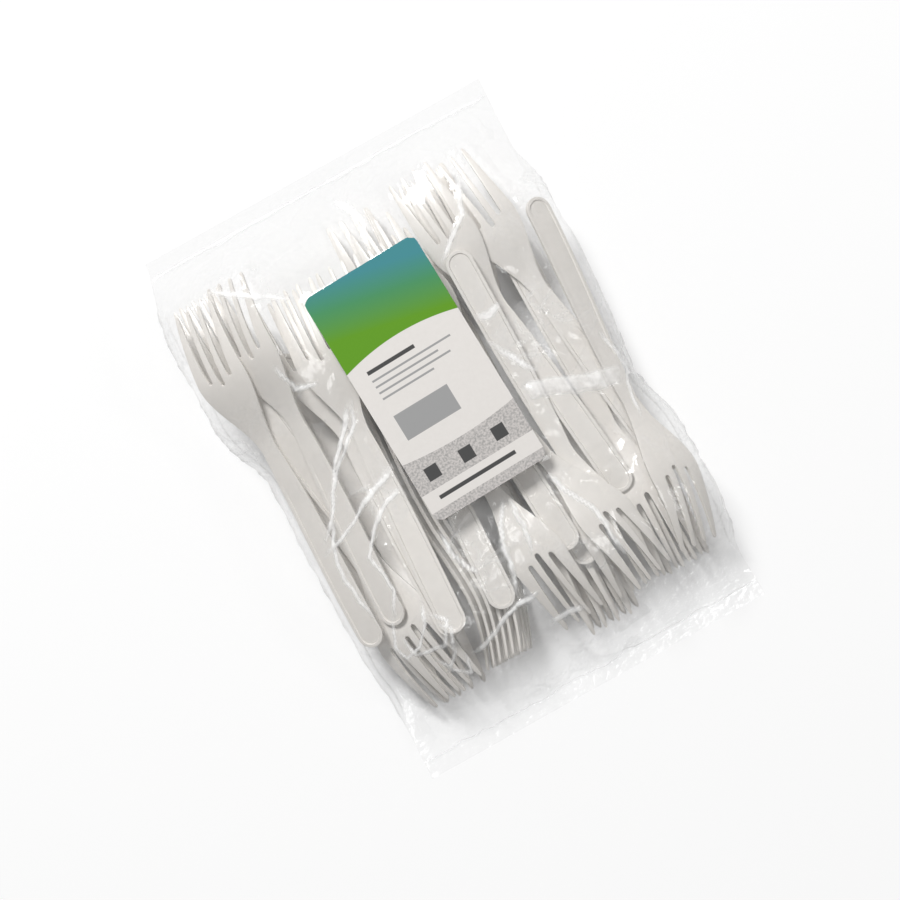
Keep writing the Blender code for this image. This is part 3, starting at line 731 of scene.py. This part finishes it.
def clear_film():
    """Clear film with a faint haze, painted highlights along its folds and creases, a painted reflection
    on its crumpled facets and a mirror shine that only the eye sees.
    """
    material, tree, haze = new_material("clear_film")
    link = tree.links.new
    height = grain_in(tree, 55.0, 1.0)[1]
    normal = bumped(tree, height, 0.0004, 0.5)
    through = tree.nodes.new("ShaderNodeBsdfTransparent")
    through.inputs["Color"].default_value = (0.99, 0.99, 0.99, 1)
    mirror = tree.nodes.new("ShaderNodeBsdfAnisotropic")
    mirror.inputs["Color"].default_value = (1, 1, 1, 1)
    mirror.inputs["Roughness"].default_value = 0.12
    link(normal, mirror.inputs["Normal"])
    glint = tree.nodes.new("ShaderNodeFresnel")
    glint.inputs["IOR"].default_value = 1.5
    link(normal, glint.inputs["Normal"])
    to_the_eye = tree.nodes.new("ShaderNodeLightPath").outputs["Is Camera Ray"]
    shine = worked_out(tree, "MINIMUM", glint.outputs[0], 0.35)
    shining = tree.nodes.new("ShaderNodeMixShader")
    link(times(tree, shine, to_the_eye), shining.inputs["Fac"])
    link(through.outputs[0], shining.inputs[1])
    link(mirror.outputs[0], shining.inputs[2])
    haze.inputs["Roughness"].default_value = 0.4
    # The haze turns white along the painted highlights of the folds and creases.
    painted_glint = read_attribute(tree, "painted_glint")
    colour = shade_between(tree, painted_glint, (0.72, 0.72, 0.715), (0.98, 0.975, 0.965))
    link(colour, haze.inputs["Base Color"])
    # The share of haze and painted reflection that the eye sees, with the painted highlights on top.
    haze_and_reflection = worked_out(tree, "MULTIPLY_ADD", height, 0.04, read_attribute(tree, "haze_and_reflection"))
    uneven = value_between(tree, height, 0.45, 1.0)
    haze_and_reflection = worked_out(tree, "MULTIPLY_ADD", painted_glint, uneven, haze_and_reflection)
    surface = tree.nodes.new("ShaderNodeMixShader")
    link(times(tree, haze_and_reflection, to_the_eye, clamp=True), surface.inputs["Fac"])
    link(shining.outputs[0], surface.inputs[1])
    link(haze.outputs[0], surface.inputs[2])
    link(surface.outputs[0], tree.nodes["Material Output"].inputs["Surface"])
    return material


def new_tree(name, inputs):
    """An empty geometry tree with these named inputs, and its two end nodes."""
    tree = bpy.data.node_groups.new(name, "GeometryNodeTree")
    tree.interface.new_socket("Geometry", in_out="INPUT", socket_type="NodeSocketGeometry")
    for label, value in inputs.items():
        kind = "NodeSocketMaterial" if value is None else "NodeSocketFloat"
        socket = tree.interface.new_socket(label, in_out="INPUT", socket_type=kind)
        if value is not None:
            socket.default_value = value
    tree.interface.new_socket("Geometry", in_out="OUTPUT", socket_type="NodeSocketGeometry")
    return tree, tree.nodes.new("NodeGroupInput"), tree.nodes.new("NodeGroupOutput")


def finish_tree(tree, start, end, geometry):
    """Ends the tree: real geometry, in the material that the input gives."""
    real = tree.nodes.new("GeometryNodeRealizeInstances")
    painted = tree.nodes.new("GeometryNodeSetMaterial")
    tree.links.new(geometry, real.inputs[0])
    tree.links.new(real.outputs[0], painted.inputs["Geometry"])
    tree.links.new(start.outputs["Material"], painted.inputs["Material"])
    tree.links.new(painted.outputs[0], end.inputs[0])


def grown(blank, tree, values):
    """The plain mesh that the tree makes of this object with these values for its inputs."""
    modifier = blank.modifiers.new(tree.name, "NODES")
    modifier.node_group = tree
    for item in tree.interface.items_tree:
        if item.in_out == "INPUT" and item.name in values:
            modifier[item.identifier] = values[item.name]
    graph = bpy.context.evaluated_depsgraph_get()
    mesh = bpy.data.meshes.new_from_object(blank.evaluated_get(graph))
    blank.modifiers.clear()
    return mesh


def noise_in(tree, place, scale, seed, detail=2.0):
    noise = tree.nodes.new("ShaderNodeTexNoise")
    noise.noise_dimensions = "4D"
    noise.inputs["Detail"].default_value = detail
    for value, name in ((place, "Vector"), (scale, "Scale"), (seed, "W")):
        tree.links.new(value, noise.inputs[name])
    return noise


def ridges(tree, place, scale, seed):
    """A pattern that is one along sharp folds and falls away between them."""
    noise = noise_in(tree, place, scale, seed)
    noise.inputs["Distortion"].default_value = 0.8
    away = worked_out(tree, "ABSOLUTE", worked_out(tree, "SUBTRACT", noise.outputs["Fac"], 0.5))
    return worked_out(tree, "MULTIPLY_ADD", away, -5.0, 1.0, clamp=True)


def folded_flats(tree, place, scale, seed):
    """A net of thin folds with a wandering course, and a painted reflection level for each flat between
    them.
    """
    bend = noise_in(tree, place, times(tree, scale, 1.3), seed, 3.0)
    shift = tree.nodes.new("ShaderNodeVectorMath")
    shift.operation = "MULTIPLY_ADD"
    shift.inputs[1].default_value = (0.014, 0.014, 0.0)
    tree.links.new(bend.outputs["Color"], shift.inputs[0])
    tree.links.new(place, shift.inputs[2])
    flats = tree.nodes.new("ShaderNodeTexVoronoi")
    folds = tree.nodes.new("ShaderNodeTexVoronoi")
    folds.feature = "DISTANCE_TO_EDGE"
    for cells in (flats, folds):
        cells.voronoi_dimensions = "4D"
        for value, name in ((shift.outputs[0], "Vector"), (scale, "Scale"), (seed, "W")):
            tree.links.new(value, cells.inputs[name])
    channels = tree.nodes.new("ShaderNodeSeparateXYZ")
    tree.links.new(flats.outputs["Color"], channels.inputs[0])
    fold_width = times(tree, scale, -0.0011)
    thin = worked_out(tree, "DIVIDE", folds.outputs["Distance"], fold_width)
    return worked_out(tree, "ADD", thin, 1.0, clamp=True), channels.outputs[0]


def stored(tree, geometry, name, value):
    keep = tree.nodes.new("GeometryNodeStoreNamedAttribute")
    keep.data_type = "FLOAT"
    keep.domain = "POINT"
    keep.inputs["Name"].default_value = name
    tree.links.new(geometry, keep.inputs["Geometry"])
    tree.links.new(value, keep.inputs["Value"])
    return keep.outputs[0]


def crumpling_tree():
    """Pushes the film outwards, in ridges where it is loose and in thin folds, and marks painted
    highlights along its folds and creases, and its haze with a painted reflection on each facet.
    """
    sizes = {"Ridge Height": 0.0012, "Fold Height": 0.0003, "Scale": 40.0, "Seed": 1.0}
    tree, start, end = new_tree("crumple_film", {**sizes, "Material": None})
    place = tree.nodes.new("GeometryNodeInputPosition").outputs[0]
    scale, seed = start.outputs["Scale"], start.outputs["Seed"]
    masks = {}
    for name in ("loose", "crease_glint"):
        mask = tree.nodes.new("GeometryNodeInputNamedAttribute")
        mask.data_type = "FLOAT"
        mask.inputs["Name"].default_value = name
        masks[name] = mask.outputs["Attribute"]
    ridge = ridges(tree, place, scale, seed)
    folds, flats = folded_flats(tree, place, times(tree, scale, 1.4), seed)
    small_folds, small_flats = folded_flats(tree, place, times(tree, scale, 3.6), seed)

    # Folds show only in patches, and not on the underside, which lies on the table.
    patches = noise_in(tree, place, times(tree, scale, 0.6), seed, 1.0)
    here = worked_out(tree, "MULTIPLY_ADD", patches.outputs["Fac"], 8.0, -4.2, clamp=True)
    lines = times(tree, worked_out(tree, "MAXIMUM", folds, times(tree, small_folds, 0.5)), here)
    axes = tree.nodes.new("ShaderNodeSeparateXYZ")
    tree.links.new(place, axes.inputs[0])
    off_table = worked_out(tree, "MULTIPLY_ADD", axes.outputs[2], 2000.0, -1.0, clamp=True)
    lines = times(tree, lines, off_table)

    # The white is painted highlight: thin bright lines along the folds, brighter where the film is
    # loose, and the painted highlight along the creases.
    shown = worked_out(tree, "MULTIPLY_ADD", masks["loose"], 0.15, 0.2)
    white = worked_out(tree, "MULTIPLY_ADD", lines, shown, times(tree, masks["crease_glint"], 0.95))
    # A faint haze of the film's own everywhere, and where the film is loose a painted reflection that
    # differs from one crumpled facet to the next.
    haze = worked_out(tree, "MULTIPLY_ADD", masks["loose"], 0.15, 0.015)
    haze_and_reflection = times(tree, worked_out(tree, "MULTIPLY_ADD", small_flats, 0.15, flats), haze)
    haze_and_reflection = worked_out(tree, "ADD", haze_and_reflection, 0.012)
    height = times(tree, times(tree, ridge, masks["loose"]), start.outputs["Ridge Height"])
    height = worked_out(tree, "MULTIPLY_ADD", lines, start.outputs["Fold Height"], height)
    normal = tree.nodes.new("GeometryNodeInputNormal")
    push = tree.nodes.new("ShaderNodeVectorMath")
    push.operation = "SCALE"
    tree.links.new(normal.outputs[0], push.inputs[0])
    tree.links.new(height, push.inputs["Scale"])
    marked = stored(tree, start.outputs["Geometry"], "painted_glint", white)
    marked = stored(tree, marked, "haze_and_reflection", haze_and_reflection)
    moved = tree.nodes.new("GeometryNodeSetPosition")
    tree.links.new(marked, moved.inputs["Geometry"])
    tree.links.new(push.outputs[0], moved.inputs["Offset"])
    finish_tree(tree, start, end, moved.outputs[0])
    return tree


bag = new_object("clear_bag", film_mesh())
crumpling = {"Ridge Height": 0.0013, "Fold Height": 0.0004, "Scale": 42.0, "Seed": 4.0}
bag.data = grown(bag, crumpling_tree(), {**crumpling, "Material": clear_film()})
bag.data.shade_smooth()
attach(bag, "root")
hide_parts("film_bag")


# Welds: a hot wire melts the two layers of the bag together across each end, 8 mm from the cut.
# The melted film draws up into a thin, wavering bead, thicker and thinner along its length.

WELD_HEIGHT = 0.0008


def weld_tree():
    """A wavering bead that follows a line across the bag."""
    sizes = {"Half Width": 0.087, "Place": 0.1, "Wander": 0.001, "Radius": 0.0003, "Seed": 1.0}
    tree, start, end = new_tree("weld_bead", {**sizes, "Material": None})
    link = tree.links.new

    def at_side(way):
        point = tree.nodes.new("ShaderNodeCombineXYZ")
        link(times(tree, start.outputs["Half Width"], way), point.inputs[0])
        link(start.outputs["Place"], point.inputs[1])
        point.inputs[2].default_value = WELD_HEIGHT
        return point.outputs[0]

    line = tree.nodes.new("GeometryNodeCurvePrimitiveLine")
    link(at_side(-1.0), line.inputs["Start"])
    link(at_side(1.0), line.inputs["End"])
    steps = tree.nodes.new("GeometryNodeResampleCurve")
    steps.inputs["Count"].default_value = 260
    link(line.outputs[0], steps.inputs["Curve"])
    place = tree.nodes.new("GeometryNodeInputPosition").outputs[0]
    coarse, fine = (tree.nodes.new("ShaderNodeValue").outputs[0] for _ in range(2))
    coarse.default_value, fine.default_value = 90.0, 330.0
    sway = noise_in(tree, place, coarse, start.outputs["Seed"], 4.0)
    shift = worked_out(tree, "SUBTRACT", sway.outputs["Fac"], 0.5)
    shift = times(tree, shift, start.outputs["Wander"])
    offset = tree.nodes.new("ShaderNodeCombineXYZ")
    link(times(tree, shift, 4.0), offset.inputs[1])
    link(worked_out(tree, "ABSOLUTE", shift), offset.inputs[2])
    moved = tree.nodes.new("GeometryNodeSetPosition")
    link(steps.outputs[0], moved.inputs["Geometry"])
    link(offset.outputs[0], moved.inputs["Offset"])
    lumps = ridges(tree, place, fine, start.outputs["Seed"])
    sized = tree.nodes.new("GeometryNodeSetCurveRadius")
    link(moved.outputs[0], sized.inputs["Curve"])
    link(worked_out(tree, "MULTIPLY_ADD", lumps, 1.6, 0.35), sized.inputs["Radius"])
    ring = tree.nodes.new("GeometryNodeCurvePrimitiveCircle")
    ring.inputs["Resolution"].default_value = 6
    link(start.outputs["Radius"], ring.inputs["Radius"])
    bead = tree.nodes.new("GeometryNodeCurveToMesh")
    bead.inputs["Fill Caps"].default_value = True
    link(sized.outputs[0], bead.inputs["Curve"])
    link(ring.outputs[0], bead.inputs["Profile Curve"])
    finish_tree(tree, start, end, bead.outputs[0])
    return tree


def melted_film():
    """Whitish film that is clearer in some places than in others."""
    material, tree, shader = new_material("melted_film")
    shader.inputs["Base Color"].default_value = (0.93, 0.93, 0.93, 1)
    mottling, height = grain_in(tree, 90.0)
    tree.links.new(value_between(tree, height, 0.05, 0.5), shader.inputs["Alpha"])
    tree.links.new(value_between(tree, mottling, 0.4, 0.2), shader.inputs["Roughness"])
    tree.links.new(bumped(tree, height, 0.00005), shader.inputs["Normal"])
    return material


bead_tree = weld_tree()
bead = {"Half Width": 0.0875, "Wander": 0.0016, "Radius": 0.00016, "Material": melted_film()}
for name, end, seed in (("far_weld", 1, 1.0), ("near_weld", -1, 6.0)):
    weld = new_object(name, bpy.data.meshes.new(name))
    place = end * (BAG_LENGTH / 2 - WELD_FROM_END)
    weld.data = grown(weld, bead_tree, {**bead, "Place": place, "Seed": seed})
    weld.data.shade_smooth()
    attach(weld, "root")


# Label: a coated paper rectangle with rounded corners, stuck to the top of the film. It is printed
# with a header that shades from blue-green to green and ends in an arc, plain bars on an off-white
# body, a band of speckled grey and a foot of the same.

LABEL_CORNER = 0.0035
LABEL_THICKNESS = 0.0003
HEADER_FROM, HEADER_BOW = 0.667, 0.035
BAND_FROM, BAND_TO, BAND_BOW = 0.117, 0.26, -0.02
FOOT_TO = 0.04

# Printed bars, each from left to right and from low to high, in shares of the label
HEAVY_BARS = [
    (0.14, 0.56, 0.622, 0.638),
    (0.12, 0.80, 0.072, 0.088),
    (0.12, 0.23, 0.150, 0.205),
    (0.42, 0.53, 0.143, 0.198),
    (0.72, 0.83, 0.150, 0.205),
]
LIGHT_BARS = [
    (0.14, 0.84, 0.590, 0.598),
    (0.14, 0.70, 0.564, 0.572),
    (0.14, 0.78, 0.538, 0.546),
    (0.14, 0.60, 0.512, 0.520),
    (0.14, 0.62, 0.330, 0.440),
]


def label_mesh():
    """The sheet with rounded corners, face up, its map in shares of its width and length."""
    half = (LABEL_WIDTH / 2, LABEL_LENGTH / 2)
    columns = np.linspace(-half[0], half[0], 31)
    rows = np.linspace(-half[1], half[1], 61)
    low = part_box("label")[0].z
    cos, sin = math.cos(LABEL_LEAN), math.sin(LABEL_LEAN)
    middle_x, middle_y = LABEL_MIDDLE
    points, places = [], []
    for z in (low, low + LABEL_THICKNESS):
        for along in rows:
            inset = max(abs(along) - (half[1] - LABEL_CORNER), 0)
            edge = half[0] - LABEL_CORNER + math.sqrt(max(LABEL_CORNER**2 - inset**2, 0))
            for across in columns:
                x = float(np.clip(across, -edge, edge))
                places.append((x / LABEL_WIDTH + 0.5, along / LABEL_LENGTH + 0.5))
                points.append((middle_x + x * cos - along * sin, middle_y + x * sin + along * cos, z))
    wide, long = len(columns), len(rows)
    faces = []
    for level in (0, 1):
        for row in range(long - 1):
            for column in range(wide - 1):
                a = level * wide * long + row * wide + column
                corners = (a, a + 1, a + wide + 1, a + wide)
                faces.append(corners if level else corners[::-1])
    ring = [*range(wide), *range(2 * wide - 1, wide * long, wide)]
    ring += [*range(wide * long - 2, wide * (long - 1) - 1, -1), *range(wide * (long - 2), 0, -wide)]
    for start, end in zip(ring, (*ring[1:], ring[0])):
        faces.append((start, end, end + wide * long, start + wide * long))
    mesh = bpy.data.meshes.new("paper_label")
    mesh.from_pydata(points, [], faces)
    layer = mesh.uv_layers.new(name="print")
    for loop in mesh.loops:
        layer.data[loop.index].uv = places[loop.vertex_index]
    return turned_outwards(mesh, merged=True)


def label_print():
    """The printed paper: a colour for each field, laid one over the other from its own map."""
    material, tree, shader = new_material("label_print")
    link = tree.links.new
    number = partial(worked_out, tree)

    def over(mask, under, upper):
        mix = tree.nodes.new("ShaderNodeMix")
        mix.data_type = "RGBA"
        link(mask, mix.inputs["Factor"])
        for value, socket in ((under, mix.inputs["A"]), (upper, mix.inputs["B"])):
            if isinstance(value, tuple):
                socket.default_value = (*value, 1)
            else:
                link(value, socket)
        return mix.outputs["Result"]

    own_map = tree.nodes.new("ShaderNodeUVMap")
    own_map.uv_map = "print"
    parts = tree.nodes.new("ShaderNodeSeparateXYZ")
    link(own_map.outputs["UV"], parts.inputs[0])
    across = number("SUBTRACT", parts.outputs[0], 0.5)
    along = parts.outputs[1]
    bow = number("MULTIPLY", number("MULTIPLY", across, across), 4.0)

    def past(place, edge, sharpness):
        """1 where the place lies past the edge, with a soft step."""
        rise = number("SUBTRACT", place, edge)
        return number("MULTIPLY_ADD", rise, sharpness, 0.5, clamp=True)

    def above(edge, bulge):
        """1 where the place lies over an arc that crosses the label at this share."""
        line = number("SUBTRACT", edge + bulge, number("MULTIPLY", bow, bulge))
        return past(along, line, 900.0)

    def block(left, right, low, high):
        """1 inside an upright rectangle, in shares of the label."""
        sideways = parts.outputs[0]
        masks = [past(sideways, left, 500.0), past(right, sideways, 500.0)]
        masks += [past(along, low, 900.0), past(high, along, 900.0)]
        return reduce(partial(number, "MULTIPLY"), masks)

    mottling, height = grain_in(tree, 500.0)
    paper = shade_between(tree, mottling, (0.74, 0.71, 0.68), (0.79, 0.76, 0.73))
    spots = tree.nodes.new("ShaderNodeTexNoise")
    spots.inputs["Scale"].default_value = 1000.0
    spots.inputs["Detail"].default_value = 4.0
    place = tree.nodes.new("ShaderNodeTexCoord")
    link(place.outputs["Object"], spots.inputs["Vector"])
    speckle = number("MULTIPLY_ADD", spots.outputs["Fac"], 4.0, -1.4, clamp=True)
    stone = shade_between(tree, speckle, (0.36, 0.35, 0.34), (0.60, 0.57, 0.55))
    ramp = tree.nodes.new("ShaderNodeValToRGB")
    green, blue_green = ramp.color_ramp.elements
    green.position, green.color = 0.25, (0.10, 0.285, 0.006, 1)
    blue_green.position, blue_green.color = 0.95, (0.048, 0.235, 0.265, 1)
    ramp.color_ramp.elements.new(0.62).color = (0.055, 0.25, 0.10, 1)
    slant = number("MULTIPLY_ADD", across, 0.35, number("MULTIPLY_ADD", along, 3.0, -2.0), clamp=True)
    link(slant, ramp.inputs["Fac"])
    colour = over(number("SUBTRACT", 1.0, above(FOOT_TO, 0.0)), paper, stone)
    over_band = above(BAND_TO, BAND_BOW)
    band = number("MULTIPLY", above(BAND_FROM, 0.0), number("SUBTRACT", 1.0, over_band))
    colour = over(band, colour, stone)
    for bars, ink in ((HEAVY_BARS, (0.05, 0.05, 0.05)), (LIGHT_BARS, (0.33, 0.33, 0.33))):
        for left, right, low, high in bars:
            colour = over(block(left, right, low, high), colour, ink)
    colour = over(above(HEADER_FROM, HEADER_BOW), colour, ramp.outputs["Color"])
    link(colour, shader.inputs["Base Color"])
    shader.inputs["Specular IOR Level"].default_value = 0.3
    link(value_between(tree, mottling, 0.45, 0.6), shader.inputs["Roughness"])
    link(bumped(tree, height, 0.00001), shader.inputs["Normal"])
    return material


label = new_object("paper_label", label_mesh())
label.data.materials.append(label_print())
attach(label, "root")
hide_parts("label")


# Floor, lamps and camera: a plain white table, a soft key lamp beyond the far end on the left and
# two weak ones overhead and on the right. The camera looks straight down from far off, turned so
# that the pack lies askew in the picture.

PICTURE_SIZE = 900
PICTURE_TURN = math.radians(29.16)
PICTURE_SCALE = 2160.0
PICTURE_SHIFT = (-5.5, -21.25)
CAMERA_HEIGHT = 3.5
FOCUS_HEIGHT = 0.03
SENSOR = 36.0
ROOM_LIGHT = 0.16
FLOOR_WHITE = 0.72
FLOOR_HALF = 4
SHADED_HALVES = (0.074, 0.104)
SHADE_FADE = 0.02
LAMPS_AIM_AT = 0.02


def table_white():
    """White paint, mixed for the eye with plain white beyond the pack's shadow."""
    material, tree, shader = new_material("table_white")
    link = tree.links.new
    shader.inputs["Roughness"].default_value = 0.9
    shader.inputs["Specular IOR Level"].default_value = 0.0
    shader.inputs["Base Color"].default_value = (0.98, 0.98, 0.98, 1)
    plain_white = tree.nodes.new("ShaderNodeEmission")
    ray = tree.nodes.new("ShaderNodeLightPath").outputs
    seen = worked_out(tree, "MAXIMUM", ray["Is Camera Ray"], ray["Is Glossy Ray"])
    place = tree.nodes.new("ShaderNodeSeparateXYZ")
    link(tree.nodes.new("ShaderNodeTexCoord").outputs["Object"], place.inputs[0])
    past_forks = [
        worked_out(tree, "SUBTRACT", worked_out(tree, "ABSOLUTE", place.outputs[axis]), half)
        for axis, half in enumerate(SHADED_HALVES)
    ]
    beyond = worked_out(tree, "MAXIMUM", *past_forks)
    lit = worked_out(tree, "MULTIPLY_ADD", beyond, 1 / SHADE_FADE, 0.0, clamp=True)
    seen = times(tree, seen, worked_out(tree, "SMOOTH_MIN", lit, 1.0, 0.2))
    backdrop = tree.nodes.new("ShaderNodeMixShader")
    link(times(tree, seen, FLOOR_WHITE), backdrop.inputs["Fac"])
    link(shader.outputs[0], backdrop.inputs[1])
    link(plain_white.outputs[0], backdrop.inputs[2])
    link(backdrop.outputs[0], tree.nodes["Material Output"].inputs["Surface"])
    return material


corners = [(x * FLOOR_HALF, y * FLOOR_HALF, 0) for x, y in ((-1, -1), (1, -1), (1, 1), (-1, 1))]
floor_mesh = bpy.data.meshes.new("table_top")
floor_mesh.from_pydata(corners, [], [(0, 1, 2, 3)])
floor_mesh.materials.append(table_white())
new_object("table_top", floor_mesh)

world = bpy.data.worlds.new("soft_room")
world.use_nodes = True
room_tree = world.node_tree
room = room_tree.nodes["Background"]
room.inputs["Color"].default_value = (1, 1, 1, 1)
ray = room_tree.nodes.new("ShaderNodeLightPath").outputs
sight = worked_out(room_tree, "MAXIMUM", ray["Is Camera Ray"], ray["Is Glossy Ray"])
sight = worked_out(room_tree, "MAXIMUM", sight, ray["Is Transmission Ray"])
strength = worked_out(room_tree, "MULTIPLY_ADD", sight, 1.0 - ROOM_LIGHT, ROOM_LIGHT)
room_tree.links.new(strength, room.inputs["Strength"])
bpy.context.scene.world = world


def lamp(name, place, size, power):
    """A square soft lamp that faces the pack."""
    light = bpy.data.lights.new(name, "AREA")
    light.shape = "SQUARE"
    light.size = size
    light.energy = power
    holder = new_object(name, light)
    holder.location = place
    way = Vector((0, 0, LAMPS_AIM_AT)) - Vector(place)
    holder.rotation_euler = way.to_track_quat("-Z", "Y").to_euler()


def picture_place(right, up, height):
    """A place given by how far it lies to the right and up in the picture."""
    cos, sin = math.cos(PICTURE_TURN), math.sin(PICTURE_TURN)
    return (right * cos + up * sin, up * cos - right * sin, height)


lamp("key", picture_place(-0.8, 1.1, 1.45), 0.5, 36.0)
lamp("overhead", picture_place(0.5, -0.25, 1.9), 0.45, 4.0)
lamp("right_side", picture_place(1.4, 0.1, 1.0), 0.3, 2.5)

camera = bpy.data.cameras.new("camera")
camera.sensor_width = SENSOR
camera.lens = SENSOR * (CAMERA_HEIGHT - FOCUS_HEIGHT) / (PICTURE_SIZE / PICTURE_SCALE)
camera.clip_end = 20.0
eye = new_object("camera", camera)
eye.location = picture_place(*(pixels / PICTURE_SCALE for pixels in PICTURE_SHIFT), CAMERA_HEIGHT)
eye.rotation_euler = (0, 0, -PICTURE_TURN)
bpy.context.scene.camera = eye

bpy.context.scene.view_settings.view_transform = "Standard"
